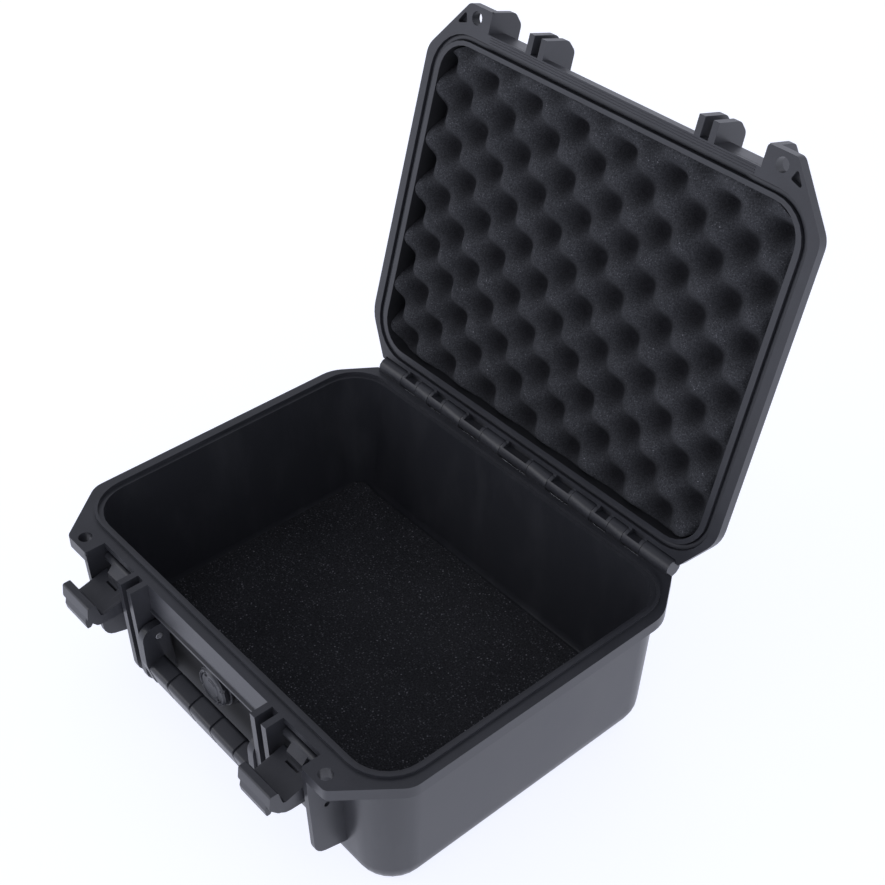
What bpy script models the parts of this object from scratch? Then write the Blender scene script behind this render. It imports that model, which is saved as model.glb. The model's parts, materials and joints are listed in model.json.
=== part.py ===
"""Small hard equipment case with a hinged lid, hook latches, a bail handle and a purge valve.

Frame: origin at the centre of the base's bottom face, +X to the right, +Y to the hinge, +Z up.
Lengths below are millimetres and become metres as each mesh is made. The lid's pieces are drawn
closed and hang on an empty on the hinge axis, which opens them.
"""
import math

import bmesh
import bpy
from mathutils import Matrix, Vector

MM = 0.001
RUNNING_CLEARANCE = 0.06    # radial play of a pin in its hole
FACE_GAP = 0.3              # play between pieces that only touch

# Driving sizes of the base
BASE_TOP = 88.0             # top of the sealing tongue
FLANGE_TOP = 86.4
FLANGE_BOTTOM = 79.8
LEDGE_TOP = 86.0            # step inside the tongue
TONGUE_HALF = (123.7, 93.6)
TONGUE_WIDTH = 1.6
CAVITY_HALF = (119.6, 89.7)
CORNER_RADIUS = 23.5
DRAFT = 0.052               # slope of the moulded walls
FLOOR = 3.0
CAVITY_CORNER_TOP = 21.0
CAVITY_CORNER_LOW = 13.5
BOTTOM_ROUND = 14.0
INNER_ROUND = 9.0

# Rim outline, shared by the base and the lid
SIDE_X = 129.0
FRONT_Y = -98.65
BACK_Y = 98.5
EAR_INNER_X = 88.5
EAR_FRONT_Y = -109.8
HASP_HOLE = (98.5, -103.7)
HASP_RADIUS = 3.6

# Lid
LID_BOTTOM = 86.7
RIM_TOP = 92.2
LID_TOP = 110.5
LID_HALF = (124.0, 94.0)
LID_SLOPE_START = 97.0
LID_SLOPE = 13.5            # size of the 45 degree shoulder
LID_OPENING_HALF = (117.6, 88.3)
GROOVE_HALF = (124.0, 93.9)
GROOVE_WIDTH = 3.2
GROOVE_TOP = 91.6
LID_OPEN_ANGLE = math.radians(105.55)

# Hinge
HINGE_Y = 102.1
HINGE_Z = 87.7
KNUCKLE_RADIUS = 5.2
KNUCKLE_SWING = 5.7
HINGE_PIN_RADIUS = 1.5
KNUCKLE_GAP = 0.25
LID_KNUCKLES = ((25.6, 42.5), (57.5, 69.5), (79.7, 92.2))
BASE_KNUCKLES = ((10.8, 25.6), (42.5, 57.5), (69.5, 79.7), (92.2, 111.0))
CENTRE_KNUCKLE = 10.8
POCKET_COLLAR = 2.2         # collar at each end of a lid knuckle's pocket

# Front ribs
RIB_PLATES = ((49.3, 52.9), (57.7, 61.3))
RIB_FRONT = -108.5
WEB = (88.5, 91.5)
WEB_FRONT = -109.7

# Handle
HANDLE_AXIS = (-99.3, 55.3)
ARM = (44.0, 48.3)
HANDLE_PIN_RADIUS = 2.0
ACCESS_RADIUS = 1.5         # hole in the webs, in line with the handle's pins
GROOVE_CENTRES = (-28.0, -8.9, 8.9, 28.0)
GRIP_GROOVE = 1.5

# Latches
LATCH_AXIS = (-98.0, 77.8)
LATCH_BARREL = (62.0, 87.8)
LATCH_BARREL_RADIUS = 2.5
LATCH_PIN_RADIUS = 1.3
LATCH_PLATE = (63.1, 86.7)
LATCH_ARM = (69.0, 80.5)
LATCH_SLOT = (70.5, 79.5)
LATCH_TONGUE = (65.0, 84.0)

# Purge valve, on the front wall's middle
VALVE_Z = 54.0
VALVE_RADIUS = 11.6
KNOB_RADIUS = 10.75
STEM_RADIUS = 6.0
SPIGOT_RADIUS = 3.0

# Egg-crate foam
EGG_PITCH_X = 32.1
EGG_PITCH_Y = 27.8
EGG_PEAK = 88.2
EGG_DEPTH = 13.0
EGG_PHASE = (-6.5, -59.1)   # centre of one dimple
EGG_STEPS = 2               # mesh cells in a half pitch

ARC = 7                     # mesh segments in a quarter of a case corner
ROUND = 24                  # mesh segments around turned pieces
PIN = 16                    # mesh segments around pins


# ---------------------------------------------------------------- helpers

def material(name, colour, roughness, metallic=0.0):
    made = bpy.data.materials.new(name)
    made.use_nodes = True
    shader = made.node_tree.nodes["Principled BSDF"]
    shader.inputs["Base Color"].default_value = (*colour, 1.0)
    shader.inputs["Roughness"].default_value = roughness
    shader.inputs["Metallic"].default_value = metallic
    made.diffuse_color = (*colour, 1.0)
    return made


def moulded(name):
    return material(name, (0.075, 0.078, 0.092), 0.55)


def rubber(name):
    return material(name, (0.05, 0.05, 0.055), 0.7)


def steel(name):
    return material(name, (0.6, 0.6, 0.62), 0.35, 1.0)


def foam(name):
    return material(name, (0.03, 0.03, 0.033), 0.95)


def finish(bm, name, made):
    """Close a bmesh drawn in millimetres into an object in metres."""
    bmesh.ops.recalc_face_normals(bm, faces=bm.faces)
    bmesh.ops.scale(bm, vec=(MM, MM, MM), verts=bm.verts)
    mesh = bpy.data.meshes.new(name)
    bm.to_mesh(mesh)
    bm.free()
    mesh.materials.append(made)
    piece = bpy.data.objects.new(name, mesh)
    bpy.context.scene.collection.objects.link(piece)
    return piece


def combine(target, tool, operation):
    """Join or cut target with tool, and use the tool up."""
    modifier = target.modifiers.new("Combine", "BOOLEAN")
    modifier.solver = "EXACT"
    modifier.operation = operation
    modifier.object = tool
    bpy.context.view_layer.update()
    evaluated = target.evaluated_get(bpy.context.evaluated_depsgraph_get())
    result = bpy.data.meshes.new_from_object(evaluated)
    target.modifiers.clear()
    target.data = result
    bpy.data.objects.remove(tool)


def smooth(piece, degrees=35.0):
    piece.data.shade_smooth()
    piece.data.set_sharp_from_angle(angle=math.radians(degrees))


def move_origin(piece, y, z):
    """Put the object's origin on an axis that runs along X."""
    point = Vector((0.0, y, z)) * MM
    piece.data.transform(Matrix.Translation(-point))
    piece.location = point


def rounded(corners, steps=4):
    """Outline through corners (u, v, radius); a corner without a radius stays sharp."""
    outline = []
    for index, corner in enumerate(corners):
        here = Vector(corner[:2])
        if len(corner) == 2:
            outline.append(here)
            continue
        before = (Vector(corners[index - 1][:2]) - here).normalized()
        after = (Vector(corners[(index + 1) % len(corners)][:2]) - here).normalized()
        half = before.angle(after) / 2
        radius = corner[2]
        centre = here + (before + after).normalized() * radius / math.sin(half)
        start = here + before * radius / math.tan(half) - centre
        end = here + after * radius / math.tan(half) - centre
        for step in range(steps + 1):
            outline.append(centre + start.slerp(end, step / steps) * radius)
    return outline


def rounded_rectangle(half, radius, z, inset=0.0, steps=ARC):
    """Ring of points at height z, its corners rounded."""
    x = half[0] - inset
    y = half[1] - inset
    r = radius - inset
    corners = ((x, -y, r), (x, y, r), (-x, y, r), (-x, -y, r))
    return [Vector((u, v, z)) for u, v in rounded(corners, steps)]


def circle(radius, steps, u=0.0, v=0.0):
    return [Vector((u + radius * math.cos(2 * math.pi * i / steps),
                    v + radius * math.sin(2 * math.pi * i / steps))) for i in range(steps)]


def bore_radius(pin_radius, steps=PIN):
    """Corner radius of a faceted hole whose flats clear the pin."""
    return (pin_radius + RUNNING_CLEARANCE) / math.cos(math.pi / steps)


def loft(bm, rings, closed=False):
    """Skin rings of equal count; open ends get a face, a closed loft joins its ends."""
    made = [[bm.verts.new(point) for point in ring] for ring in rings]
    pairs = list(zip(made, made[1:]))
    if closed:
        pairs.append((made[-1], made[0]))
    else:
        bm.faces.new(made[0])
        bm.faces.new(made[-1])
    count = len(made[0])
    for lower, upper in pairs:
        for i in range(count):
            j = (i + 1) % count
            bm.faces.new((lower[i], lower[j], upper[j], upper[i]))


def at(axis, u, v, w):
    """Point with w along the axis; (u, v) is (y, z), (x, z) or (x, y)."""
    return {"x": Vector((w, u, v)), "y": Vector((u, w, v)), "z": Vector((u, v, w))}[axis]


def prism(bm, axis, outline, low, high):
    loft(bm, [[at(axis, u, v, w) for u, v in outline] for w in (low, high)])


def box(bm, low, high):
    outline = ((low[0], low[1]), (high[0], low[1]), (high[0], high[1]), (low[0], high[1]))
    prism(bm, "z", outline, low[2], high[2])


def turned(bm, profile, closed=False):
    """Turn (radius, y) points about the valve's axis."""
    rings = [[at("y", u, v, y) for u, v in circle(radius, ROUND, 0.0, VALVE_Z)]
             for radius, y in profile]
    loft(bm, rings, closed)


def both_sides(span):
    """The span on the right, and its mirror image on the left."""
    return (span, (-span[1], -span[0]))


def spans(right_spans, shrink=0.0):
    """Both sides of each span, each end drawn in by shrink."""
    return [(low + shrink, high - shrink) for span in right_spans
            for low, high in both_sides(span)]


def wall_offset(z):
    """How far the drafted wall has moved in at height z, from the flange down."""
    return DRAFT * (FLANGE_BOTTOM - z)


# ---------------------------------------------------------------- shared outlines

def rim_outline():
    """Plan of the rim with its two padlock ears and its cut back corners."""
    right = ((EAR_INNER_X, FRONT_Y), (EAR_INNER_X, EAR_FRONT_Y, 1.5),
             (105.2, EAR_FRONT_Y, 4.0), (SIDE_X, -80.0, 12.0), (SIDE_X, 76.2, 20.0),
             (113.5, BACK_Y))
    left = [(-corner[0], *corner[1:]) for corner in reversed(right)]
    return rounded((*right, *left))


def knuckle_outline(upward):
    """Round knuckle with a root that runs into the base (upward False) or the lid (True)."""
    side = 1.0 if upward else -1.0
    arc = [Vector((HINGE_Y + KNUCKLE_RADIUS * math.cos(angle),
                   HINGE_Z + side * KNUCKLE_RADIUS * math.sin(angle)))
           for angle in (math.radians(degrees) for degrees in range(-180, 91, 30))]
    if upward:
        root = ((BACK_Y - 1.0, RIM_TOP - 0.3), (95.5, RIM_TOP - 0.3), (95.5, HINGE_Z))
    else:
        root = ((BACK_Y, FLANGE_BOTTOM + 0.3), (95.5, FLANGE_BOTTOM + 0.3),
                (95.5, FLANGE_TOP - 0.2), (HINGE_Y - KNUCKLE_RADIUS, FLANGE_TOP - 0.2))
    return [*arc, *(Vector(point) for point in root)]


def hasp_cutters(bm):
    for x in (HASP_HOLE[0], -HASP_HOLE[0]):
        prism(bm, "z", circle(HASP_RADIUS, PIN, x, HASP_HOLE[1]), 70.0, 100.0)


# ---------------------------------------------------------------- base

def base_tub():
    """Moulded tub: rounded bottom, drafted walls, and a tongue that stands above the flange."""
    top = (TONGUE_HALF[0] - 1.1, TONGUE_HALF[1] - 1.1)
    rings = []
    for degrees in range(0, 91, 15):
        angle = math.radians(degrees)
        z = BOTTOM_ROUND * (1 - math.cos(angle))
        inset = wall_offset(BOTTOM_ROUND) + BOTTOM_ROUND * (1 - math.sin(angle))
        rings.append(rounded_rectangle(top, CORNER_RADIUS, z, inset))
    rings.append(rounded_rectangle(top, CORNER_RADIUS, FLANGE_BOTTOM))
    tongue = CORNER_RADIUS + 0.5
    for z, inset in ((FLANGE_BOTTOM + 0.8, 0.0), (BASE_TOP, 0.0), (BASE_TOP, TONGUE_WIDTH),
                     (LEDGE_TOP, TONGUE_WIDTH)):
        rings.append(rounded_rectangle(TONGUE_HALF, tongue, z, inset))
    rings.append(rounded_rectangle(CAVITY_HALF, CAVITY_CORNER_TOP, LEDGE_TOP))
    draw_in = DRAFT * (LEDGE_TOP - FLOOR - INNER_ROUND)
    lower_half = (CAVITY_HALF[0] - draw_in, CAVITY_HALF[1] - draw_in)
    for degrees in (90, 60, 30, 0):
        angle = math.radians(degrees)
        z = FLOOR + INNER_ROUND * (1 - math.cos(angle))
        inset = INNER_ROUND * (1 - math.sin(angle))
        rings.append(rounded_rectangle(lower_half, CAVITY_CORNER_LOW, z, inset))
    bm = bmesh.new()
    loft(bm, rings)
    return finish(bm, "base_shell", moulded("base_shell"))


def rim_ring(low, high, lower_opening, upper_opening):
    """Flat rim plate with a tapered opening, given as (half, radius) at each face."""
    bm = bmesh.new()
    prism(bm, "z", rim_outline(), low, high)
    ring = finish(bm, "rim_ring", moulded("rim_ring"))
    bm = bmesh.new()
    slope = [(upper_opening[0][i] - lower_opening[0][i]) / (high - low) for i in (0, 1)]
    rings = []
    for z, (half, radius) in ((low, lower_opening), (high, upper_opening)):
        reach = -1.0 if z == low else 1.0
        stretched = (half[0] + slope[0] * reach, half[1] + slope[1] * reach)
        rings.append(rounded_rectangle(stretched, radius, z + reach))
    loft(bm, rings)
    combine(ring, finish(bm, "opening", moulded("opening")), "DIFFERENCE")
    return ring


def base_ribs():
    """Pairs of plates beside the latch bays, and the webs under the padlock ears."""
    bm = bmesh.new()
    rib = rounded(((RIB_FRONT, FLANGE_TOP), (RIB_FRONT + 1.9, 21.5, 8.0), (-88.2, 20.5),
                   (-91.0, 80.0), (-92.8, FLANGE_TOP)))
    for low, high in spans(RIB_PLATES):
        prism(bm, "x", rib, low, high)
    web = rounded(((WEB_FRONT, 84.0), (WEB_FRONT + 2.35, 25.5, 8.0), (-88.2, 20.0),
                   (-91.0, 80.0), (-92.8, 84.0)))
    for low, high in both_sides(WEB):
        prism(bm, "x", web, low, high)
    return finish(bm, "ribs", moulded("ribs"))


def base_skirt():
    """Apron under the flange between the ribs, with a lip along its lower edge."""
    bm = bmesh.new()
    profile = ((-98.5, 84.0), (-98.5, 69.9), (-99.5, 69.4), (-99.5, 68.0), (-96.2, 68.0),
               (-96.2, 84.0))
    reach = RIB_PLATES[0][0] + 0.5
    prism(bm, "x", profile, -reach, reach)
    return finish(bm, "skirt", moulded("skirt"))


def base_knuckles():
    """Hinge knuckles, and the flat boss that the valve clamps on."""
    bm = bmesh.new()
    for low, high in spans(BASE_KNUCKLES, KNUCKLE_GAP / 2):
        prism(bm, "x", knuckle_outline(False), low, high)
    prism(bm, "y", circle(12.8, ROUND, 0.0, VALVE_Z), -92.4, -86.6)
    return finish(bm, "knuckles", moulded("knuckles"))


def base_cutters():
    bm = bmesh.new()
    hasp_cutters(bm)
    for low, high in both_sides((RIB_PLATES[1][1], WEB[0])):
        box(bm, (low, -101.0, 78.0), (high, -94.0, 82.9))
    for low, high in (*spans(LID_KNUCKLES), (-CENTRE_KNUCKLE, CENTRE_KNUCKLE)):
        prism(bm, "x", circle(KNUCKLE_SWING, ROUND, HINGE_Y, HINGE_Z), low - KNUCKLE_GAP / 2,
              high + KNUCKLE_GAP / 2)
    handle_bore = circle(bore_radius(HANDLE_PIN_RADIUS), PIN, *HANDLE_AXIS)
    for low, high in both_sides((RIB_PLATES[0][0] - 1.0, RIB_PLATES[1][1] + 0.6)):
        prism(bm, "x", handle_bore, low, high)
    for low, high in both_sides((WEB[0] - 1.0, WEB[1] + 1.0)):
        prism(bm, "x", circle(ACCESS_RADIUS, PIN, *HANDLE_AXIS), low, high)
    prism(bm, "y", circle(STEM_RADIUS + FACE_GAP, ROUND, 0.0, VALVE_Z), -94.0, -84.0)
    return finish(bm, "cutters", moulded("cutters"))


def pin_bores():
    """Hinge bore, blind at the case's two ends, and the latch pins' holes."""
    bm = bmesh.new()
    hinge_bore = circle(bore_radius(HINGE_PIN_RADIUS), PIN, HINGE_Y, HINGE_Z)
    prism(bm, "x", hinge_bore, -109.0, 109.0)
    latch_bore = circle(bore_radius(LATCH_PIN_RADIUS), PIN, *LATCH_AXIS)
    for low, high in both_sides((RIB_PLATES[1][0] - 1.0, WEB[1] + 1.0)):
        prism(bm, "x", latch_bore, low, high)
    return finish(bm, "bores", moulded("bores"))


def base_shell():
    shell = base_tub()
    ring = rim_ring(FLANGE_BOTTOM, FLANGE_TOP, ((121.0, 91.0), CORNER_RADIUS - 1.5),
                    ((122.9, 92.8), CORNER_RADIUS - 0.5))
    combine(shell, ring, "UNION")
    combine(shell, base_ribs(), "UNION")
    combine(shell, base_skirt(), "UNION")
    combine(shell, base_knuckles(), "UNION")
    combine(shell, base_cutters(), "DIFFERENCE")
    combine(shell, pin_bores(), "DIFFERENCE")
    smooth(shell)


def base_foam():
    """Flat pad on the floor, rounded below like the tub that it lies in."""
    half = (114.4, 83.5)
    shift = Vector((0.0, -1.0, 0.0))
    rings = [[point + shift for point in rounded_rectangle(half, 13.5, z, inset)]
             for z, inset in ((FLOOR + FACE_GAP, 7.2), (5.2, 2.9), (8.3, 0.0))]
    bm = bmesh.new()
    loft(bm, rings)
    finish(bm, "base_foam", foam("base_foam"))


# ---------------------------------------------------------------- lid

def lid_dome():
    """Lid wall, shoulder and top, with the seal's groove inside the rim."""
    groove_radius = CORNER_RADIUS + 0.5
    opening_radius = groove_radius - GROOVE_WIDTH - 3.2
    foot = 1.8
    shoulder = rounded(((-foot, RIM_TOP - 1.0), (0.0, LID_SLOPE_START, 7.0),
                        (LID_SLOPE, LID_TOP, 7.0), (2 * LID_SLOPE, LID_TOP)))
    rings = [rounded_rectangle(LID_HALF, CORNER_RADIUS + 0.5, z, min(inset, LID_SLOPE + 4.0))
             for inset, z in reversed(shoulder)]
    rings.append(rounded_rectangle(LID_HALF, CORNER_RADIUS + 0.5, LID_BOTTOM, -foot))
    for z, inset in ((LID_BOTTOM, 0.0), (GROOVE_TOP, 0.0), (GROOVE_TOP, GROOVE_WIDTH),
                     (LID_BOTTOM, GROOVE_WIDTH)):
        rings.append(rounded_rectangle(GROOVE_HALF, groove_radius, z, inset))
    for z, inset in ((LID_BOTTOM, 0.0), (99.2, 0.0), (107.5, 8.3)):
        rings.append(rounded_rectangle(LID_OPENING_HALF, opening_radius, z, inset))
    bm = bmesh.new()
    loft(bm, rings)
    return finish(bm, "lid_shell", moulded("lid_shell"))


def lid_fins():
    """Fins that carry the base's ribs and webs on over the lid's shoulder."""
    bm = bmesh.new()
    rib = rounded(((RIB_FRONT, LID_BOTTOM), (RIB_FRONT, 102.8, 5.0), (-103.0, 109.2, 5.0),
                   (-83.0, 109.7), (-82.5, 106.8), (-92.0, 97.3), (-96.0, 88.4),
                   (-96.0, LID_BOTTOM)))
    for low, high in spans(RIB_PLATES):
        prism(bm, "x", rib, low, high)
    web = rounded(((WEB_FRONT, 88.0), (WEB_FRONT, 103.4, 5.0), (-103.6, 109.4, 5.0),
                   (-83.0, 109.7), (-82.5, 106.8), (-92.0, 97.3), (-96.0, 88.0)))
    for low, high in both_sides(WEB):
        prism(bm, "x", web, low, high)
    return finish(bm, "fins", moulded("fins"))


def lid_ledges():
    """Ledges in the latch bays, which the hooks hold down, and the lid's knuckles."""
    bm = bmesh.new()
    profile = ((-98.7, 88.5), (-98.7, 99.6), (-94.0, 99.6), (-91.0, 99.2), (-92.2, 97.3),
               (-95.8, 90.0), (-95.8, 88.5))
    for low, high in both_sides((RIB_PLATES[1][1] - 0.5, WEB[0] + 0.5)):
        prism(bm, "x", profile, low, high)
    middle = (-CENTRE_KNUCKLE + KNUCKLE_GAP / 2, CENTRE_KNUCKLE - KNUCKLE_GAP / 2)
    for low, high in (*spans(LID_KNUCKLES, KNUCKLE_GAP / 2), middle):
        prism(bm, "x", knuckle_outline(True), low, high)
    return finish(bm, "ledges", moulded("ledges"))


def lid_cutters():
    """Padlock holes, the ears' three-cornered pockets and room for the base's knuckles."""
    bm = bmesh.new()
    hasp_cutters(bm)
    for side in (1.0, -1.0):
        corners = rounded(((106.8, -105.0, 0.8), (104.6, -99.6, 0.8), (112.3, -97.2, 0.8)), 2)
        outline = [(side * u, v) for u, v in corners]
        prism(bm, "z", outline, LID_BOTTOM - 1.0, LID_BOTTOM + 3.0)
    for low, high in spans(BASE_KNUCKLES):
        prism(bm, "x", circle(KNUCKLE_SWING, ROUND, HINGE_Y, HINGE_Z), low - KNUCKLE_GAP / 2,
              high + KNUCKLE_GAP / 2)
    for low, high in (*spans(LID_KNUCKLES, POCKET_COLLAR),
                      (-CENTRE_KNUCKLE + POCKET_COLLAR, CENTRE_KNUCKLE - POCKET_COLLAR)):
        box(bm, (low, 95.7, 81.5), (high, 99.2, 89.3))
    return finish(bm, "cutters", moulded("cutters"))


def lid_shell():
    shell = lid_dome()
    opening = ((GROOVE_HALF[0] + 0.8, GROOVE_HALF[1] + 0.8), CORNER_RADIUS + 1.3)
    combine(shell, rim_ring(LID_BOTTOM, RIM_TOP, opening, opening), "UNION")
    combine(shell, lid_fins(), "UNION")
    combine(shell, lid_ledges(), "UNION")
    combine(shell, lid_cutters(), "DIFFERENCE")
    bm = bmesh.new()
    bore = circle(bore_radius(HINGE_PIN_RADIUS), PIN, HINGE_Y, HINGE_Z)
    prism(bm, "x", bore, -109.0, 109.0)
    combine(shell, finish(bm, "bore", moulded("bore")), "DIFFERENCE")
    smooth(shell)
    return shell


def lid_seal():
    """Square cord seal at the bottom of the groove, just above the closed base's tongue."""
    radius = CORNER_RADIUS + 0.5
    rings = [rounded_rectangle(GROOVE_HALF, radius, z, inset)
             for z, inset in ((88.4, FACE_GAP), (GROOVE_TOP - FACE_GAP, FACE_GAP),
                              (GROOVE_TOP - FACE_GAP, GROOVE_WIDTH - FACE_GAP),
                              (88.4, GROOVE_WIDTH - FACE_GAP))]
    bm = bmesh.new()
    loft(bm, rings, closed=True)
    return finish(bm, "lid_seal", rubber("lid_seal"))


def egg_height(x, y):
    """Height of the egg-crate face: dimples on a staggered grid, peaks between them."""
    wave = (math.cos(2 * math.pi * (x - EGG_PHASE[0]) / EGG_PITCH_X)
            * math.cos(2 * math.pi * (y - EGG_PHASE[1]) / EGG_PITCH_Y))
    return EGG_PEAK + EGG_DEPTH * (1 + wave) / 2


def egg_block():
    """Block with the egg-crate face below, larger than the pad that is cut from it."""
    step_x = EGG_PITCH_X / 2 / EGG_STEPS
    step_y = EGG_PITCH_Y / 2 / EGG_STEPS
    columns = [EGG_PHASE[0] + step_x * i for i in range(-8 * EGG_STEPS, 8 * EGG_STEPS + 1)]
    rows = [EGG_PHASE[1] + step_y * i for i in range(-3 * EGG_STEPS, 12 * EGG_STEPS + 1)]
    bm = bmesh.new()
    face = [[bm.verts.new((x, y, egg_height(x, y))) for x in columns] for y in rows]
    back = [[bm.verts.new((x, y, 112.0)) for x in (columns[0], columns[-1])]
            for y in (rows[0], rows[-1])]
    for lower, upper in zip(face, face[1:]):
        for i in range(len(columns) - 1):
            bm.faces.new((lower[i], lower[i + 1], upper[i + 1], upper[i]))
    bm.faces.new((back[0][0], back[0][1], back[1][1], back[1][0]))
    bm.faces.new((*face[0], back[0][1], back[0][0]))
    bm.faces.new((*face[-1], back[1][1], back[1][0]))
    bm.faces.new((*(row[0] for row in face), back[1][0], back[0][0]))
    bm.faces.new((*(row[-1] for row in face), back[1][1], back[0][1]))
    return finish(bm, "egg_block", foam("egg_block"))


def lid_foam():
    rings = [rounded_rectangle(LID_OPENING_HALF, 17.6, z, inset)
             for z, inset in ((87.5, 1.3), (98.4, 1.3), (107.2, 9.2))]
    bm = bmesh.new()
    loft(bm, rings)
    pad = finish(bm, "lid_foam", foam("lid_foam"))
    combine(pad, egg_block(), "INTERSECT")
    smooth(pad, 50.0)
    return pad


def open_lid(pieces):
    """Hang the closed lid's pieces on the hinge axis and swing it open."""
    axis = Vector((0.0, HINGE_Y, HINGE_Z)) * MM
    swing = bpy.data.objects.new("lid_swing", None)
    bpy.context.scene.collection.objects.link(swing)
    swing.location = axis
    swing.rotation_euler.x = -LID_OPEN_ANGLE
    for piece in pieces:
        piece.parent = swing
        piece.location = -axis


# ---------------------------------------------------------------- pins

def pin(name, radius, axis, span):
    bm = bmesh.new()
    prism(bm, "x", circle(radius, PIN, *axis), *span)
    made = finish(bm, name, steel(name))
    smooth(made)


def pins():
    handle_span = (ARM[0], RIB_PLATES[1][1])
    latch_span = (RIB_PLATES[1][0] + 0.5, WEB[1] - 0.3)
    for side, index in (("right", 0), ("left", 1)):
        pin(f"hinge_pin_{side}", HINGE_PIN_RADIUS, (HINGE_Y, HINGE_Z),
            both_sides((1.5, 108.6))[index])
        pin(f"handle_pin_{side}", HANDLE_PIN_RADIUS, HANDLE_AXIS, both_sides(handle_span)[index])
        pin(f"{side}_latch_pin", LATCH_PIN_RADIUS, LATCH_AXIS, both_sides(latch_span)[index])


# ---------------------------------------------------------------- handle

def grip_section(groove):
    """Grip's (y, z) outline; in a groove its top and front lie lower."""
    return rounded(((-97.4, 41.6 - groove, 2.0), (-108.2 + groove, 38.6 - groove, 2.6),
                    (-104.2 + groove, 23.6, 3.0), (-97.4, 23.6, 2.0)), 3)


def handle_grip():
    """Bar between the arms, with grooves round its top and front."""
    bm = bmesh.new()
    reach = ARM[0] + 0.6
    stations = [(-reach, 0.0)]
    for centre in GROOVE_CENTRES:
        near = GRIP_GROOVE / 2
        stations += [(centre - near, 0.0), (centre - near + 0.3, 0.8),
                     (centre + near - 0.3, 0.8), (centre + near, 0.0)]
    stations.append((reach, 0.0))
    rings = [[at("x", u, v, x) for u, v in grip_section(depth)] for x, depth in stations]
    loft(bm, rings)
    return finish(bm, "handle", moulded("handle"))


def handle():
    bail = handle_grip()
    bm = bmesh.new()
    arm = rounded(((-108.7, 63.0, 6.5), (-108.7, 40.0, 12.0), (-104.6, 23.2, 4.0),
                   (-97.0, 23.2, 3.0), (-93.8, 45.0, 8.0), (-93.8, 63.0, 4.5)))
    for low, high in both_sides(ARM):
        prism(bm, "x", arm, low, high)
    combine(bail, finish(bm, "arms", moulded("arms")), "UNION")
    bm = bmesh.new()
    bore = circle(bore_radius(HANDLE_PIN_RADIUS), PIN, *HANDLE_AXIS)
    for low, high in both_sides((ARM[0] - 1.0, ARM[1] + 1.0)):
        prism(bm, "x", bore, low, high)
    combine(bail, finish(bm, "bores", moulded("bores")), "DIFFERENCE")
    smooth(bail)
    move_origin(bail, *HANDLE_AXIS)


# ---------------------------------------------------------------- latches

def latch_plate():
    """Plate that sticks out from the barrel, thicker there, with the hook's lip at its outer end."""
    return rounded(((-100.2, 62.2, 1.0), (-121.4, 62.6, 3.0), (-126.4, 68.6, 3.0),
                    (-125.4, 76.4, 1.2), (-121.0, 76.4, 1.0), (-119.0, 67.2, 2.0),
                    (-105.0, 70.8, 3.0), (-100.2, 72.0, 1.0)), 3)


def latch_arm():
    """Sloping block between the barrel and the plate."""
    return ((-97.4, 79.8), (-100.0, 78.9), (-103.6, 74.8), (-103.6, 63.5),
            (-101.4, 63.5), (-100.2, 70.5), (-96.6, 76.0))


def latch_tongue():
    """Finger pull under the hook's outer edge."""
    return rounded(((-123.4, 66.0), (-126.2, 70.0), (-127.0, 66.4, 1.2), (-126.4, 62.2, 0.8),
                    (-124.4, 62.2, 0.8), (-123.0, 64.0)), 3)


def latch(side, sign):
    """Hook latch on its barrel, with a narrow slot through the plate at the arm's foot."""
    def span(limits):
        return limits if sign > 0 else (-limits[1], -limits[0])

    bm = bmesh.new()
    prism(bm, "x", latch_plate(), *span(LATCH_PLATE))
    hook = finish(bm, f"{side}_latch", moulded(f"{side}_latch"))
    for outline, limits in ((circle(LATCH_BARREL_RADIUS, PIN, *LATCH_AXIS), LATCH_BARREL),
                            (latch_arm(), LATCH_ARM), (latch_tongue(), LATCH_TONGUE)):
        bm = bmesh.new()
        prism(bm, "x", outline, *span(limits))
        combine(hook, finish(bm, "addition", moulded("addition")), "UNION")
    bm = bmesh.new()
    bore = circle(bore_radius(LATCH_PIN_RADIUS), PIN, *LATCH_AXIS)
    prism(bm, "x", bore, *span((LATCH_BARREL[0] - 1.0, LATCH_BARREL[1] + 1.0)))
    slot = ((-104.7, 60.0), (-104.7, 75.0), (-105.9, 75.0), (-105.9, 60.0))
    prism(bm, "x", slot, *span(LATCH_SLOT))
    combine(hook, finish(bm, "cutters", moulded("cutters")), "DIFFERENCE")
    smooth(hook)
    move_origin(hook, *LATCH_AXIS)


# ---------------------------------------------------------------- purge valve

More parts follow.
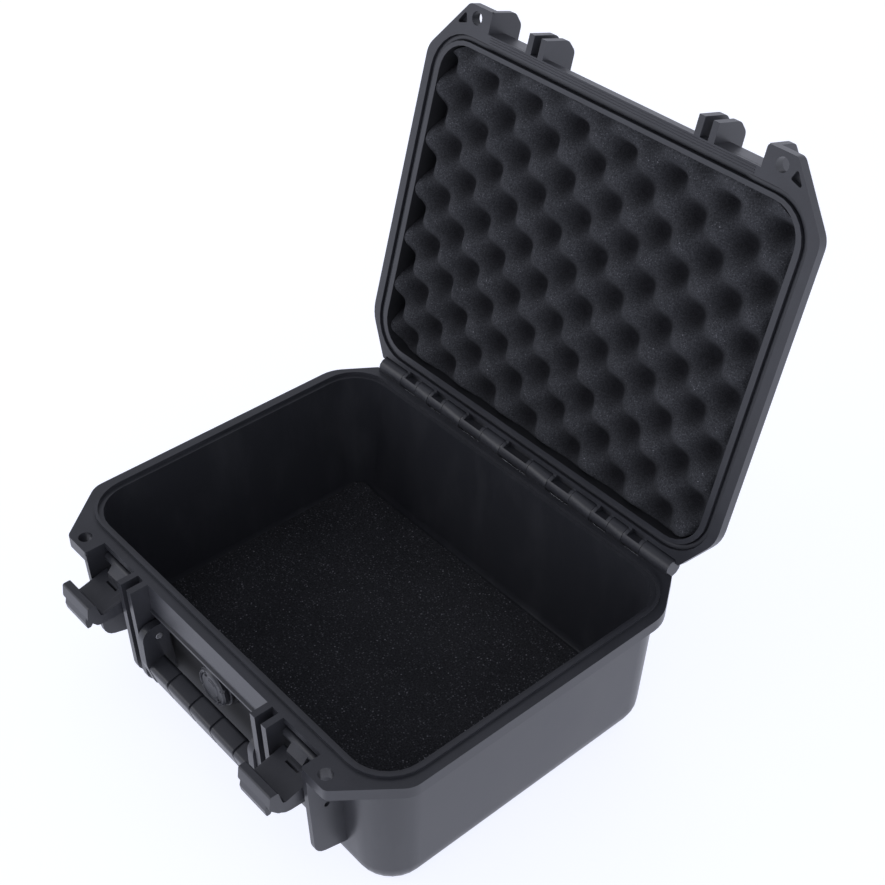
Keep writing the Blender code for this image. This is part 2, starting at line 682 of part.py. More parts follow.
def valve():
    """Body through the front wall, clamped by a nut inside; the knob turns in its bore."""
    bore = bore_radius(SPIGOT_RADIUS, ROUND)
    bm = bmesh.new()
    turned(bm, ((VALVE_RADIUS, -94.0), (VALVE_RADIUS, -94.9), (VALVE_RADIUS - 0.4, -95.2),
                (5.0, -95.2), (5.0, -93.7), (bore, -93.7), (bore, -83.4), (5.0, -83.4),
                (5.0, -82.0), (STEM_RADIUS, -82.0), (STEM_RADIUS, -94.0)), closed=True)
    smooth(finish(bm, "valve_body", moulded("valve_body")))

    bm = bmesh.new()
    turned(bm, ((SPIGOT_RADIUS, -88.0), (SPIGOT_RADIUS, -95.5), (KNOB_RADIUS, -95.5),
                (KNOB_RADIUS, -98.0), (KNOB_RADIUS - 0.5, -98.4), (8.6, -98.4), (8.2, -97.5),
                (4.8, -97.5), (4.4, -98.6), (3.6, -98.9)))
    knob = finish(bm, "valve_knob", moulded("valve_knob"))
    smooth(knob)
    knob.data.transform(Matrix.Translation((0.0, 0.0, -VALVE_Z * MM)))
    knob.location.z = VALVE_Z * MM

    bm = bmesh.new()
    turned(bm, ((10.9, -93.7), (10.9, -92.7), (STEM_RADIUS + FACE_GAP, -92.7),
                (STEM_RADIUS + FACE_GAP, -93.7)), closed=True)
    smooth(finish(bm, "valve_gasket", rubber("valve_gasket")))

    bm = bmesh.new()
    ring = [(4.0 + 0.65 * math.cos(angle), -94.55 + 0.5 * math.sin(angle))
            for angle in (2 * math.pi * i / 8 for i in range(8))]
    turned(bm, ring, closed=True)
    smooth(finish(bm, "valve_stem_oring", rubber("valve_stem_oring")))

    bm = bmesh.new()
    turned(bm, ((4.6, -82.4), (4.6, -83.0)))
    smooth(finish(bm, "valve_membrane", material("valve_membrane", (0.8, 0.8, 0.78), 0.8)))


def valve_nut():
    """Hexagonal nut on the stem, inside the case."""
    bm = bmesh.new()
    prism(bm, "y", circle(9.6, 6, 0.0, VALVE_Z), -86.3, -82.8)
    nut = finish(bm, "valve_nut", moulded("valve_nut"))
    bm = bmesh.new()
    prism(bm, "y", circle(STEM_RADIUS + FACE_GAP, ROUND, 0.0, VALVE_Z), -88.0, -81.0)
    combine(nut, finish(bm, "bore", moulded("bore")), "DIFFERENCE")
    smooth(nut)


# ---------------------------------------------------------------- assembly

def clear_scene():
    for old in list(bpy.data.objects):
        bpy.data.objects.remove(old)


def main():
    clear_scene()
    base_shell()
    base_foam()
    open_lid((lid_shell(), lid_seal(), lid_foam()))
    pins()
    handle()
    latch("right", 1)
    latch("left", -1)
    valve()
    valve_nut()


main()
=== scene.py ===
"""Looks of the hard equipment case: fine surfaces, foam, seal and materials round the CAD frame."""
import json
import math

import bmesh
import bpy
from mathutils import Matrix, Vector, noise


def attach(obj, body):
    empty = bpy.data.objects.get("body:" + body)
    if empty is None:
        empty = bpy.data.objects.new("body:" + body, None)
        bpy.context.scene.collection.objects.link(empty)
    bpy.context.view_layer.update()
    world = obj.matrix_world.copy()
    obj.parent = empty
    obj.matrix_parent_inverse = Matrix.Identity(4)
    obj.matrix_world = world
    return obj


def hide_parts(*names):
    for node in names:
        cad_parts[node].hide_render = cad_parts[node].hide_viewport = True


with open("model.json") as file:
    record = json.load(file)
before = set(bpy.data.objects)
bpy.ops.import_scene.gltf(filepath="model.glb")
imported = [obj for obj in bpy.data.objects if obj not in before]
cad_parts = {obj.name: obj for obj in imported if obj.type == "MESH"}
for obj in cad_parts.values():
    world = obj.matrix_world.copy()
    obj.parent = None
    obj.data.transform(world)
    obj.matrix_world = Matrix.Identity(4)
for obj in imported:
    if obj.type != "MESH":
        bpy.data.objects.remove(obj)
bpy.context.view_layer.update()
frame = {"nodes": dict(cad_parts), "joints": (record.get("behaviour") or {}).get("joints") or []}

MM = 0.001
NODES = frame["nodes"]
JOINTS = {joint["name"]: joint for joint in frame["joints"]}
HINGE = Vector(JOINTS["lid_hinge"]["pos_m"])
LID_OPEN_DEGREES = 105.55
LID_OPEN = Matrix.Rotation(math.radians(-LID_OPEN_DEGREES), 4, "X")
LID_MATRIX = Matrix.Translation(HINGE) @ LID_OPEN @ Matrix.Translation(-HINGE)

# Lid foam, in millimetres, in the closed lid's frame, where it faces down
EGG_HALF = (117.2, 87.9)
EGG_RADIUS = 18.4
EGG_PITCH = (32.1, 28.6)
EGG_DIMPLE = (-6.0, -61.7)     # centre of one dimple
EGG_LAST_ROW = -76.0           # the row in front of this one is squeezed and shallow
EGG_SQUEEZE = 1.36
EGG_PEAK = 86.7
EGG_DEPTH = 12.0
EGG_ROUND = 1.15               # above 1, the peaks are broader than the dimples
EGG_SIDE = 98.6                # the pad narrows behind this height
EGG_BACK = 107.2

# Base foam, in millimetres
MAT_HALF = (114.5, 82.5)
MAT_RADIUS = 8.5
MAT_TOP = 8.3
MAT_CURL = 2.6                 # how far each corner climbs the tub's rounded floor
MAT_CURL_REACH = 15.0

# Lid seal, in millimetres, in the closed lid's frame
SEAL_HALF = (123.85, 93.75)
SEAL_RADIUS = 23.6
SEAL_WIDTH = 2.9
SEAL_BACK = 91.4
SEAL_FACE = 88.15
SEAL_FRONT_FACE = 89.3         # the stretch between the latches lies deeper
SEAL_CORNER_STEPS = 16
SEAL_STRAIGHT_STEPS = 40

# Fine beads on the lid's front rim, in millimetres, in the closed lid's frame
BEAD_ROWS = (-97.5, -96.2, -94.9)
BEAD_REACH = 86.0
BEAD_WIDTH = 0.6
BEAD_HEIGHT = 0.28
BEAD_ROOT = 86.72

# Valve knob, in millimetres, its axis along Y
KNOB_RADIUS = 10.6
KNOB_HEIGHT = 54.0
KNOB_FACE = -98.9
KNOB_BACK = -95.6
KNOB_EDGE = 0.3
KNOB_STEP = 0.25
KNOB_AROUND = 216

# Plastic: base colour, its lighter and darker patches, and the roughness between them
PLASTIC = (0.028, 0.029, 0.034)
PATCH_LIGHT = 1.16
PATCH_DARK = 0.86
GLOSS = (0.33, 0.41)

# The tub's cavity, in millimetres: the middle of its drafted wall at the ledge, and its heights
CAVITY_HALF = (121.4, 91.5)
CAVITY_Z = (1.0, 86.2)
LEDGE_TOP = 86.0
WALL_DRAFT = 0.052

# The recess behind the handle, in millimetres, where the tub's colour gets painted shade
RECESS_X = (-49.0, 49.0)
RECESS_Y = (-97.5, -89.2)
RECESS_Z = (14.0, 67.0)

# The lid's well, in millimetres, in the closed lid's frame: the centres and radius of its
# corners, its heights, and where its walls start to slope in by 45 degrees
WELL_CENTRES = (99.2, 69.9)
WELL_RADIUS = 18.4
WELL_Z = (87.2, 108.0)
WELL_SLOPE_START = 99.2
WELL_SLOPE_LENGTH = 10.0

BLACK = (0.0, 0.0, 0.0, 1.0)
# painted glint colour for the foams' brightest specks
PAINTED_GLINT_WHITE = (0.24, 0.24, 0.26, 1.0)
FOAM_SPECULAR = 0.15

# Studio
COOL_WHITE = (0.94, 0.965, 1.10)
FLOOR_HALF = 14.0
FLOOR_GLOW = 0.86
HORIZON = 1.07
ZENITH = 0.45
KEY_PLACE = (-1.3, -1.45, 1.15)
KEY_SIZE = (1.0, 0.8)
KEY_POWER = 5.0
FILL_PLACE = (1.5, -1.4, 0.9)
FILL_SIZE = (1.4, 0.9)
FILL_POWER = 2.0
LIGHT_TARGET = (0.0, 0.0, 0.1)

# Camera, in degrees, metres and, for the lens, millimetres
CAMERA_AZIMUTH = 48.755
CAMERA_ELEVATION = 39.342
CAMERA_ROLL = 0.30
CAMERA_PLACE = (0.44924, -0.34573, 0.61745)
CAMERA_LENS = 63.05
CAMERA_SENSOR = 36.0


# ---------------------------------------------------------------- node helpers

class Nodes:
    """Short way to add and join shader nodes."""

    def __init__(self, name):
        self.material = bpy.data.materials.new(name)
        self.material.use_nodes = True
        self.tree = self.material.node_tree
        self.shader = self.tree.nodes["Principled BSDF"]
        self.place = self.tree.nodes.new("ShaderNodeTexCoord").outputs["Object"]

    def add(self, kind, inputs=None, **settings):
        node = self.tree.nodes.new(kind)
        for key, value in settings.items():
            setattr(node, key, value)
        for key, value in (inputs or {}).items():
            self.feed(node, key, value)
        return node

    def feed(self, node, key, value):
        if isinstance(value, bpy.types.NodeSocket):
            self.tree.links.new(value, node.inputs[key])
        else:
            node.inputs[key].default_value = value

    def noise(self, scale, detail=2.0, roughness=0.5, place=None):
        node = self.add("ShaderNodeTexNoise", {"Vector": place or self.place, "Scale": scale,
                                               "Detail": detail, "Roughness": roughness})
        return node.outputs["Fac"]

    def moved(self, **settings):
        """The object's coordinates after a move, a turn or a stretch."""
        return self.add("ShaderNodeMapping", {"Vector": self.place, **settings}).outputs[0]

    def parts(self, place=None):
        return self.add("ShaderNodeSeparateXYZ", {"Vector": place or self.place}).outputs

    def grey(self, value, low, high, out_low=0.0, out_high=1.0):
        node = self.add("ShaderNodeMapRange", {"Value": value, "From Min": low,
                                               "From Max": high, "To Min": out_low,
                                               "To Max": out_high})
        return node.outputs["Result"]

    def calc(self, operation, *values):
        node = self.add("ShaderNodeMath", dict(enumerate(values)), operation=operation)
        return node.outputs[0]

    def product(self, first, *others):
        for other in others:
            first = self.calc("MULTIPLY", first, other)
        return first

    def within(self, value, limits, soft):
        """1 where a value lies between two limits in millimetres, fading over a soft distance."""
        low, high = limits
        rise = self.grey(value, (low - soft) * MM, (low + soft) * MM)
        fall = self.grey(value, (high - soft) * MM, (high + soft) * MM, 1.0, 0.0)
        return self.product(rise, fall)

    def mix(self, factor, first, second, blend="MIX"):
        node = self.add("ShaderNodeMix", data_type="RGBA", blend_type=blend)
        self.feed(node, 0, factor)
        self.feed(node, 6, first)
        self.feed(node, 7, second)
        return node.outputs[2]

    def bump(self, height, distance, strength):
        inputs = {"Height": height, "Distance": distance, "Strength": strength}
        return self.add("ShaderNodeBump", inputs).outputs["Normal"]

    def set(self, **values):
        for key, value in values.items():
            self.feed(self.shader, key.replace("_", " "), value)


# ---------------------------------------------------------------- materials

def shade(colour, factor=1.0):
    """A colour made lighter or darker, with the alpha that sockets want."""
    return (*(value * factor for value in colour), 1.0)


def level(value):
    return (value, value, value, 1.0)


def plastic_nodes(name):
    """Charcoal plastic with a fine spark-eroded texture and faint handling marks."""
    n = Nodes(name)
    light = shade(PLASTIC, PATCH_LIGHT)
    dark = shade(PLASTIC, PATCH_DARK)
    patches = n.noise(38.0, 4.0, 0.6)
    fine = n.noise(2600.0, 2.0, 0.6)
    colour = n.mix(n.grey(patches, 0.35, 0.65), dark, light)
    n.colour = n.mix(n.grey(fine, 0.3, 0.75, 0.0, 0.25), colour, light, "SCREEN")
    n.rough = n.grey(patches, 0.3, 0.7, *GLOSS)
    n.set(Base_Color=n.colour, Roughness=n.rough,
          Normal=n.bump(n.noise(1500.0, 3.0, 0.6), 0.00004, 0.7))
    return n


def moulded_plastic(name):
    return plastic_nodes(name).material


def latch_plastic():
    """The latches' plastic, with fine scratches from use in two directions."""
    n = plastic_nodes("latch_plastic")
    scratches = []
    for turn, offset in ((0.6, 0.0), (-0.9, 4.0)):
        along = n.moved(Location=(offset, offset, offset), Rotation=(0.0, 0.0, turn),
                        Scale=(900.0, 55.0, 55.0))
        lines = n.noise(1.0, 1.0, place=along)
        scratches.append(n.grey(lines, 0.68, 0.78, 0.0, 0.30))
    marks = n.calc("MAXIMUM", *scratches)
    n.set(Base_Color=n.mix(marks, n.colour, (0.10, 0.10, 0.11, 1.0)),
          Roughness=n.mix(marks, n.rough, level(0.6)))
    return n.material


def tub_plastic():
    """The tub's plastic: polished inside the cavity; rougher behind the handle, with painted shade
    darkening the recess.
    """
    n = plastic_nodes("tub_plastic")
    parts = n.parts()
    taper = n.calc("MULTIPLY_ADD", parts["Z"], -WALL_DRAFT, WALL_DRAFT * LEDGE_TOP * MM)
    sides = []
    for axis, half in zip("XY", CAVITY_HALF):
        upright = n.calc("ADD", n.calc("ABSOLUTE", parts[axis]), taper)
        sides.append(n.grey(upright, (half - 0.4) * MM, (half + 0.4) * MM, 1.0, 0.0))
    inside = n.product(*sides, n.within(parts["Z"], CAVITY_Z, 0.4))
    recess = n.product(n.within(parts["X"], RECESS_X, 0.5), n.within(parts["Y"], RECESS_Y, 0.3),
                       n.within(parts["Z"], RECESS_Z, 4.0))
    marks = n.noise(46.0, 5.0, 0.7, n.moved(Scale=(1.0, 1.0, 0.35)))
    rubbed = n.product(inside, n.grey(marks, 0.48, 0.80, 0.0, 0.8))
    dark = n.mix(inside, n.colour, shade(PLASTIC, 1.05))
    # painted shade: the recess behind the handle is darkened to 0.3 of the plastic colour
    recess_painted_shade = n.mix(recess, dark, shade(PLASTIC, 0.30))
    smooth = n.mix(inside, n.rough, level(0.30))
    rough = n.mix(recess, smooth, level(0.75))
    n.set(Base_Color=n.mix(rubbed, recess_painted_shade, (0.050, 0.051, 0.057, 1.0)),
          Roughness=n.mix(rubbed, rough, level(0.45)))
    return n.material


def lid_plastic():
    """The lid's plastic, with painted shade darkening the walls round the foam pad."""
    n = plastic_nodes("lid_plastic")
    closed = LID_MATRIX.inverted()
    parts = n.parts(n.moved(Location=closed.to_translation(), Rotation=closed.to_euler()))
    squares = []
    for axis, centre in zip("XY", WELL_CENTRES):
        past = n.calc("SUBTRACT", n.calc("ABSOLUTE", parts[axis]), centre * MM)
        beyond = n.calc("MAXIMUM", past, 0.0)
        squares.append(n.product(beyond, beyond))
    spread = n.calc("SQRT", n.calc("ADD", *squares))
    rise = n.grey(parts["Z"], WELL_SLOPE_START * MM, (WELL_SLOPE_START + WELL_SLOPE_LENGTH) * MM,
                  0.0, WELL_SLOPE_LENGTH * MM)
    reach = n.calc("ADD", spread, rise)
    inside = n.product(n.within(parts["Z"], WELL_Z, 0.3),
                       n.grey(reach, (WELL_RADIUS + 0.2) * MM, (WELL_RADIUS + 0.6) * MM, 1.0, 0.0))
    # painted shade: the walls round the foam pad are darkened to 0.4 of the plastic colour, and made
    # rougher
    n.set(Base_Color=n.mix(inside, n.colour, shade(PLASTIC, 0.4)),
          Roughness=n.mix(inside, n.rough, level(0.6)))
    return n.material


def glint_specks(n, scale, size, share):
    """Small round spots: one in some of the cells of a given scale, used for painted glints."""
    cells = n.add("ShaderNodeTexVoronoi", {"Vector": n.place, "Scale": scale})
    chosen = n.add("ShaderNodeSeparateColor", {"Color": cells.outputs["Color"]}).outputs["Red"]
    return n.product(n.grey(cells.outputs["Distance"], size * 0.4, size, 1.0, 0.0),
                     n.grey(chosen, 1.0 - share, 1.0 - share * 0.4))


def egg_foam_material():
    """Charcoal open-cell foam: painted glints as pale specks on the peaks, and painted shade
    darkening the dimples.
    """
    n = Nodes("egg_foam")
    height = n.parts()["Z"]
    # painted shade: the deeper the foam lies in a dimple, the darker its colour, down to near black
    sunk = n.grey(height, (EGG_PEAK + 2.0) * MM, (EGG_PEAK + 11.0) * MM)
    cloud = n.noise(45.0, 3.0, 0.6)
    grain = n.noise(1250.0, 2.0, 0.75)
    peak = n.mix(n.grey(cloud, 0.3, 0.7), (0.056, 0.058, 0.064, 1.0), (0.076, 0.078, 0.085, 1.0))
    body = n.mix(sunk, peak, (0.017, 0.017, 0.020, 1.0))
    grainy = n.mix(n.grey(grain, 0.36, 0.66), n.mix(0.55, body, BLACK), body)
    # painted glints: pale specks kept to the peaks, fading out in the dimples
    peak_glint_mask = n.grey(height, (EGG_PEAK + 1.0) * MM, (EGG_PEAK + 7.0) * MM, 1.0, 0.06)
    fine = n.mix(n.product(glint_specks(n, 1050.0, 0.42, 0.40), peak_glint_mask), grainy, (0.115, 0.117, 0.127, 1.0))
    bright = n.mix(n.product(glint_specks(n, 560.0, 0.22, 0.07), peak_glint_mask), fine, PAINTED_GLINT_WHITE)
    n.set(Base_Color=bright, Roughness=0.95,
          Normal=n.bump(n.noise(1000.0, 3.0, 0.7), 0.0006, 0.8))
    n.shader.inputs["Specular IOR Level"].default_value = FOAM_SPECULAR
    return n.material


def flat_foam_material():
    """Black sheet foam with a fine open-cell skin, with painted glints as pale specks."""
    n = Nodes("flat_foam")
    cloud = n.noise(25.0, 4.0, 0.6)
    grain = n.noise(1100.0, 2.0, 0.7)
    body = n.mix(n.grey(cloud, 0.3, 0.7), (0.036, 0.037, 0.041, 1.0), (0.048, 0.049, 0.054, 1.0))
    grainy = n.mix(n.grey(grain, 0.35, 0.68), n.mix(0.6, body, BLACK), body)
    # painted glints: pale specks scattered over the foam
    fine = n.mix(glint_specks(n, 800.0, 0.42, 0.45), grainy, (0.105, 0.106, 0.116, 1.0))
    bright = n.mix(glint_specks(n, 520.0, 0.26, 0.14), fine, PAINTED_GLINT_WHITE)
    n.set(Base_Color=bright, Roughness=0.97,
          Normal=n.bump(n.noise(1300.0, 3.0, 0.7), 0.0004, 0.8))
    n.shader.inputs["Specular IOR Level"].default_value = FOAM_SPECULAR
    return n.material


def rubber_material(name, tint, roughness):
    """Matt rubber with faint lighter patches."""
    n = Nodes(name)
    patches = n.noise(90.0, 3.0)
    n.set(Base_Color=n.mix(patches, shade(tint), shade(tint, 1.25)), Roughness=roughness,
          Normal=n.bump(n.noise(1800.0, 2.0), 0.00003, 0.6))
    return n.material


def steel_material():
    """Drawn pin steel, its fine lines along X."""
    n = Nodes("pin_steel")
    lines = n.noise(1.0, place=n.moved(Scale=(20.0, 4000.0, 4000.0)))
    n.set(Base_Color=n.mix(lines, (0.50, 0.50, 0.52, 1.0), (0.66, 0.66, 0.68, 1.0)),
          Metallic=1.0, Roughness=n.grey(lines, 0.3, 0.7, 0.25, 0.4))
    return n.material


def membrane_material():
    """White woven membrane."""
    n = Nodes("membrane")
    weave = n.noise(2500.0, 2.0)
    n.set(Base_Color=n.mix(weave, (0.66, 0.66, 0.64, 1.0), (0.82, 0.82, 0.8, 1.0)),
          Roughness=0.85)
    return n.material


# ---------------------------------------------------------------- mesh helpers

SHARP_FROM = math.radians(55.0)
CORNER_ROWS = 12


def made_object(name, bm, matrix=Matrix()):
    """Finished object from a bmesh given in millimetres."""
    bmesh.ops.scale(bm, vec=(MM, MM, MM), verts=bm.verts)
    bmesh.ops.recalc_face_normals(bm, faces=bm.faces)
    mesh = bpy.data.meshes.new(name)
    bm.to_mesh(mesh)
    bm.free()
    mesh.shade_smooth()
    mesh.set_sharp_from_angle(angle=SHARP_FROM)
    made = bpy.data.objects.new(name, mesh)
    bpy.context.scene.collection.objects.link(made)
    made.matrix_world = matrix
    return made


def bridge(bm, first, second):
    """Quads between two closed rings of vertices."""
    for i, corner in enumerate(first):
        following = (i + 1) % len(first)
        bm.faces.new((corner, first[following], second[following], second[i]))


def blend_in(value, low, high):
    """0 below low, 1 above high, smooth between."""
    t = min(1.0, max(0.0, (value - low) / (high - low)))
    return t * t * (3 - 2 * t)


def pad_rows(half, radius, middle_rows):
    """(y, half width) of each row of a rounded rectangle, close together at its corners."""
    angles = [math.pi / 2 * i / CORNER_ROWS for i in range(1, CORNER_ROWS + 1)]
    corner = [(half[1] - radius + radius * math.sin(angle),
               half[0] - radius + radius * math.cos(angle)) for angle in angles]
    straight = half[1] - radius
    middle = [(-straight + 2 * straight * i / middle_rows, half[0])
              for i in range(middle_rows + 1)]
    return [(-y, wide) for y, wide in reversed(corner)] + middle + corner


def pad_rim(grid):
    """The closed loop round a grid of rows."""
    return (grid[0] + [row[-1] for row in grid[1:]] + grid[-1][-2::-1]
            + [row[0] for row in grid[-2:0:-1]])


def pad(bm, half, radius, cells, top, rings):
    """Closed pad: a fine surface top(x, y), then rings of (height, inset, radius) and a back."""
    columns, middle_rows = cells

    def places(wide, round_corner):
        return [[(across * (2 * j / columns - 1), y) for j in range(columns + 1)]
                for y, across in pad_rows(wide, round_corner, middle_rows)]

    grid = [[bm.verts.new((x, y, top(x, y))) for x, y in row] for row in places(half, radius)]
    for low, high in zip(grid, grid[1:]):
        for j in range(columns):
            bm.faces.new((low[j], low[j + 1], high[j + 1], high[j]))
    rim = pad_rim(grid)
    ring = rim
    for height, inset, round_corner in rings:
        spots = pad_rim(places((half[0] - inset, half[1] - inset), round_corner))
        following = [bm.verts.new((x, y, height(edge.co.z))) for (x, y), edge in zip(spots, rim)]
        bridge(bm, ring, following)
        ring = following
    bm.faces.new(ring)


# ---------------------------------------------------------------- detailed pieces

def egg_top(x, y):
    """Cut surface of the egg-crate foam: round dimples in staggered rows, softer at the edges."""
    squeezed = min(y, EGG_LAST_ROW + (y - EGG_LAST_ROW) * EGG_SQUEEZE)
    wave = (math.cos(2 * math.pi * (x - EGG_DIMPLE[0]) / EGG_PITCH[0])
            * math.cos(2 * math.pi * (squeezed - EGG_DIMPLE[1]) / EGG_PITCH[1]))
    depth = EGG_DEPTH * ((1 + wave) / 2) ** EGG_ROUND
    depth *= 0.5 + 0.5 * blend_in(y, EGG_LAST_ROW - 7.0, EGG_LAST_ROW)
    edge = min(EGG_HALF[0] - abs(x), EGG_HALF[1] - abs(y))
    worn = 0.5 * (1 - blend_in(edge, 0.0, 2.0))
    uneven = noise.noise(Vector((x * 0.06, y * 0.06, 3.0)))
    fine = noise.noise(Vector((x * 0.45, y * 0.45, 7.0)))
    return EGG_PEAK + depth + worn + 0.7 * uneven + 0.12 * fine


def egg_foam():
    bm = bmesh.new()
    pad(bm, EGG_HALF, EGG_RADIUS, (168, 96), egg_top,
        ((lambda edge: max(edge + 0.6, EGG_SIDE), 0.9, EGG_RADIUS - 0.9),
         (lambda edge: EGG_BACK - 0.5, 9.4, 9.0), (lambda edge: EGG_BACK, 10.2, 8.2)))
    piece = made_object("egg_crate_pad", bm, LID_MATRIX)
    piece.data.materials.append(egg_foam_material())
    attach(piece, "lid")
    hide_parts("lid_foam")


def mat_top(x, y):
    """Flat sheet that curls up the tub's rounded floor at its four corners."""
    along = max(0.0, abs(x) - (MAT_HALF[0] - MAT_CURL_REACH)) / MAT_CURL_REACH
    across = max(0.0, abs(y) - (MAT_HALF[1] - MAT_CURL_REACH)) / MAT_CURL_REACH
    uneven = noise.noise(Vector((x * 0.03, y * 0.03, 1.0)))
    fine = noise.noise(Vector((x * 0.5, y * 0.5, 5.0)))
    curl = MAT_CURL * min(1.0, 1.7 * along * across)
    return MAT_TOP + curl + 0.15 * uneven + 0.05 * fine


def base_mat():
    bm = bmesh.new()
    pad(bm, MAT_HALF, MAT_RADIUS, (150, 90), mat_top,
        ((lambda edge: edge - 0.6, 0.35, MAT_RADIUS + 0.6), (lambda edge: 5.2, 3.4, 9.0),
         (lambda edge: 3.4, 7.4, 7.0)))
    piece = made_object("base_pad", bm)
    piece.data.materials.append(flat_foam_material())
    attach(piece, "base")
    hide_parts("base_foam")


def seal_route():
    """Places round the seal's outer edge with the outward direction at each."""
    straight_x = SEAL_HALF[0] - SEAL_RADIUS
    straight_y = SEAL_HALF[1] - SEAL_RADIUS
    spots = []
    corners = ((1, -1, -90.0), (1, 1, 0.0), (-1, 1, 90.0), (-1, -1, 180.0))
    for sign_x, sign_y, first in corners:
        for step in range(SEAL_CORNER_STEPS + 1):
            angle = math.radians(first + 90.0 * step / SEAL_CORNER_STEPS)
            out = (math.cos(angle), math.sin(angle))
            spots.append((sign_x * straight_x + SEAL_RADIUS * out[0],
                          sign_y * straight_y + SEAL_RADIUS * out[1], out))
        length = 2 * (straight_y if sign_x == -sign_y else straight_x)
        turned = math.radians(first + 90.0)
        out = (round(math.cos(turned)), round(math.sin(turned)))
        start_x, start_y, _ = spots[-1]
        for i in range(1, SEAL_STRAIGHT_STEPS):
            run = length * i / SEAL_STRAIGHT_STEPS
            spots.append((start_x - out[1] * run, start_y + out[0] * run, out))
    return spots


def lid_gasket():
    """Rounded strip in the lid's groove, deeper along the front between the latches."""
    bm = bmesh.new()
    rings = []
    for x, y, out in seal_route():
        sunk = blend_in(-y, 91.5, 93.5) * (1 - blend_in(abs(x + 2.0), 82.0, 88.0))
        face = SEAL_FACE + (SEAL_FRONT_FACE - SEAL_FACE) * sunk
        section = [(0.0, SEAL_BACK), (0.0, face + 0.7), (0.25, face + 0.2), (0.8, face)]
        section += [(SEAL_WIDTH / 2, face - 0.08)]
        section += [(SEAL_WIDTH - inset, height) for inset, height in reversed(section[:-1])]
        rings.append([bm.verts.new((x - out[0] * inset, y - out[1] * inset, height))
                      for inset, height in section])
    for i, ring in enumerate(rings):
        bridge(bm, ring, rings[(i + 1) % len(rings)])
    piece = made_object("lid_gasket", bm, LID_MATRIX)
    piece.data.materials.append(rubber_material("seal_rubber", (0.030, 0.031, 0.036), 0.5))
    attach(piece, "lid")
    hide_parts("lid_seal")


def lid_rim_beads():
    """Three fine beads along the lid's front rim, between its ears."""
    bm = bmesh.new()
    for middle in BEAD_ROWS:
        section = [(middle + BEAD_WIDTH / 2 * math.cos(angle),
                    BEAD_ROOT - BEAD_HEIGHT * math.sin(angle))
                   for angle in (math.pi * i / 8 for i in range(9))]
        ends = []
        for x in (-BEAD_REACH, BEAD_REACH):
            ends.append([bm.verts.new((x, y, z)) for y, z in section])
            bm.faces.new(ends[-1])
        bridge(bm, *ends)
    piece = made_object("lid_rim_beads", bm, LID_MATRIX)
    piece.data.materials.append(moulded_plastic("bead_plastic"))
    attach(piece, "lid")


def in_arcs(angle, count, share):
    """1 inside each of count evenly spread arcs that fill a share of the circle."""
    place = abs((angle * count / (2 * math.pi)) % 1.0 - 0.5)
    return 1 - blend_in(place, share / 2 - 0.01, share / 2 + 0.01)


def knob_face(radius, angle):
    """How far the knob's face lies behind its highest ring."""
    def band(low, high, soft=0.1):
        return (blend_in(radius, low - soft, low + soft)
                * (1 - blend_in(radius, high - soft, high + soft)))

    dished = 0.45 * band(5.5, 8.2)
    groove = 0.7 * band(7.9, 8.4)
    notches = 0.7 * blend_in(radius, 8.3, 8.5) * in_arcs(angle + 0.35, 4, 0.07)
    pads = 0.35 * band(8.8, 9.1) * in_arcs(angle + 0.35 + math.pi / 4, 4, 0.55)
    slots = 1.5 * band(6.2, 7.4) * in_arcs(angle - 0.7, 2, 0.12)
    crescents = 0.6 * band(4.2, 4.7) * in_arcs(angle + 0.2, 2, 0.34)
    rounded_edge = 1.1 * blend_in(radius, KNOB_RADIUS - 1.3, KNOB_RADIUS) ** 2
    return dished + groove + notches + pads + slots + crescents + rounded_edge


def valve_cap():
    """Turning knob of the valve: outer ring, four arc slots, raised middle with two crescents."""
    bm = bmesh.new()
    steps = int(KNOB_RADIUS / KNOB_STEP)
    stations = [KNOB_STEP * i for i in range(1, steps + 1)] + [KNOB_RADIUS]
    angles = [2 * math.pi * k / KNOB_AROUND for k in range(KNOB_AROUND)]

    def ring(radius, height):
        return [bm.verts.new((radius * math.cos(angle), height(angle),
                              KNOB_HEIGHT + radius * math.sin(angle))) for angle in angles]

    rings = [ring(radius, lambda angle, r=radius: KNOB_FACE + knob_face(r, angle))
             for radius in stations]
    rings.append(ring(KNOB_RADIUS, lambda angle: KNOB_BACK - KNOB_EDGE))
    rings.append(ring(KNOB_RADIUS - KNOB_EDGE, lambda angle: KNOB_BACK))
    for inner, outer in zip(rings, rings[1:]):
        bridge(bm, inner, outer)
    bm.faces.new(rings[0])
    bm.faces.new(list(reversed(rings[-1])))
    piece = made_object("valve_cap", bm)
    piece.data.materials.append(moulded_plastic("knob_plastic"))
    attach(piece, "valve_knob")
    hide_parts("valve_knob")


# ---------------------------------------------------------------- CAD nodes

BEVEL_FROM = math.radians(40.0)
WELD_DISTANCE = 0.00001


def dress(names, look, edge):
    """Give CAD nodes a material, rounded edges of a width in millimetres and smooth shading."""
    for name in names:
        node = NODES[name]
        if not node.material_slots:
            node.data.materials.append(look)
        for entry in node.material_slots:
            entry.material = look
        weld = node.modifiers.new("weld", "WELD")
        weld.merge_threshold = WELD_DISTANCE
        if edge:
            bevel = node.modifiers.new("edges", "BEVEL")
            bevel.width = edge * MM
            bevel.segments = 2
            bevel.limit_method = "ANGLE"
            bevel.angle_limit = BEVEL_FROM
            bevel.use_clamp_overlap = True
            bevel.harden_normals = False
        node.data.shade_smooth()
        normals = node.modifiers.new("normals", "WEIGHTED_NORMAL")
        normals.keep_sharp = False
        normals.weight = 80


# ---------------------------------------------------------------- stage

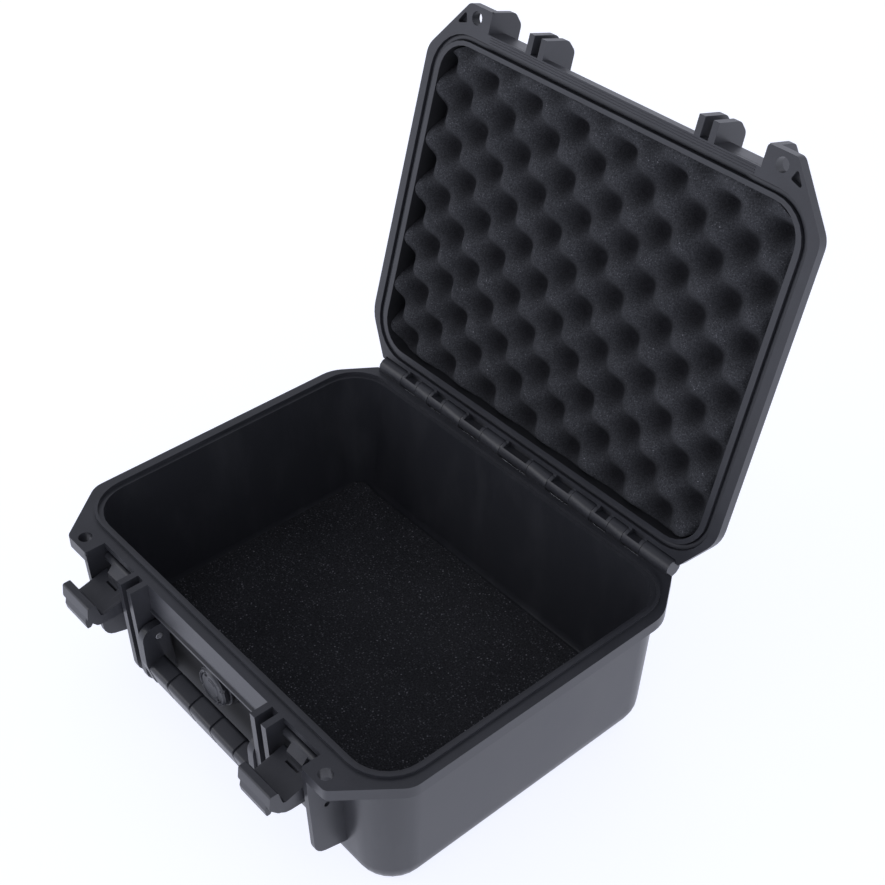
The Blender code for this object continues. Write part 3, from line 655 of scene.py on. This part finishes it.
def area_light(name, place, size, power):
    lamp = bpy.data.lights.new(name, "AREA")
    lamp.shape = "RECTANGLE"
    lamp.size = size[0]
    lamp.size_y = size[1]
    lamp.energy = power
    made = bpy.data.objects.new(name, lamp)
    bpy.context.scene.collection.objects.link(made)
    made.location = place
    aim = Vector(LIGHT_TARGET) - Vector(place)
    made.rotation_euler = aim.to_track_quat("-Z", "Y").to_euler()


def floor_material():
    """White paper sweep that glows a little, so that it stays pale under the case."""
    n = Nodes("floor")
    n.set(Base_Color=(0.34, 0.345, 0.36, 1.0), Roughness=0.9)
    n.shader.inputs["Emission Color"].default_value = (*COOL_WHITE, 1.0)
    n.shader.inputs["Emission Strength"].default_value = FLOOR_GLOW
    return n.material


def stage():
    """Wide white floor, a dome that is brighter near the horizon, and two soft lights."""
    bm = bmesh.new()
    bmesh.ops.create_grid(bm, x_segments=1, y_segments=1, size=FLOOR_HALF)
    mesh = bpy.data.meshes.new("floor")
    bm.to_mesh(mesh)
    bm.free()
    floor = bpy.data.objects.new("floor", mesh)
    bpy.context.scene.collection.objects.link(floor)
    floor.location.z = -0.0005
    mesh.materials.append(floor_material())
    world = bpy.data.worlds.new("studio")
    bpy.context.scene.world = world
    world.use_nodes = True
    tree = world.node_tree
    place = tree.nodes.new("ShaderNodeTexCoord")
    parts = tree.nodes.new("ShaderNodeSeparateXYZ")
    height = tree.nodes.new("ShaderNodeMapRange")
    height.inputs["From Min"].default_value = 0.05
    height.inputs["From Max"].default_value = 0.60
    height.inputs["To Min"].default_value = HORIZON
    height.inputs["To Max"].default_value = ZENITH
    tree.links.new(place.outputs["Generated"], parts.inputs[0])
    tree.links.new(parts.outputs["Z"], height.inputs["Value"])
    tree.links.new(height.outputs[0], tree.nodes["Background"].inputs["Strength"])
    tree.nodes["Background"].inputs["Color"].default_value = (*COOL_WHITE, 1.0)
    area_light("key", KEY_PLACE, KEY_SIZE, KEY_POWER)
    area_light("fill", FILL_PLACE, FILL_SIZE, FILL_POWER)
    bpy.context.scene.view_settings.view_transform = "Standard"


def camera():
    """Long lens from the front right, above the case."""
    azimuth = math.radians(CAMERA_AZIMUTH)
    elevation = math.radians(CAMERA_ELEVATION)
    roll = math.radians(CAMERA_ROLL)
    back = Vector((math.sin(azimuth) * math.cos(elevation),
                   -math.cos(azimuth) * math.cos(elevation), math.sin(elevation)))
    right = Vector((0.0, 0.0, 1.0)).cross(back).normalized()
    up = back.cross(right)
    turned_right = right * math.cos(roll) + up * math.sin(roll)
    turned_up = back.cross(turned_right)
    lens = bpy.data.cameras.new("camera")
    lens.lens = CAMERA_LENS
    lens.sensor_width = CAMERA_SENSOR
    made = bpy.data.objects.new("camera", lens)
    bpy.context.scene.collection.objects.link(made)
    made.matrix_world = Matrix((
        (turned_right.x, turned_up.x, back.x, CAMERA_PLACE[0]),
        (turned_right.y, turned_up.y, back.y, CAMERA_PLACE[1]),
        (turned_right.z, turned_up.z, back.z, CAMERA_PLACE[2]),
        (0.0, 0.0, 0.0, 1.0)))
    bpy.context.scene.camera = made


def main():
    plastic = moulded_plastic("moulded_plastic")
    dress(("base_shell",), tub_plastic(), 0.35)
    dress(("lid_shell",), lid_plastic(), 0.3)
    dress(("handle",), plastic, 0.5)
    dress(("left_latch", "right_latch"), latch_plastic(), 0.35)
    dress(("valve_body", "valve_nut"), plastic, 0.2)
    dress(("valve_gasket", "valve_stem_oring"),
          rubber_material("black_rubber", (0.02, 0.02, 0.022), 0.6), 0.0)
    dress(("valve_membrane",), membrane_material(), 0.0)
    dress([name for name in NODES if "_pin" in name], steel_material(), 0.2)
    egg_foam()
    base_mat()
    lid_gasket()
    lid_rim_beads()
    valve_cap()
    stage()
    camera()


main()


def corners(box):
    return [[float(value) for value in corner] for corner in box]
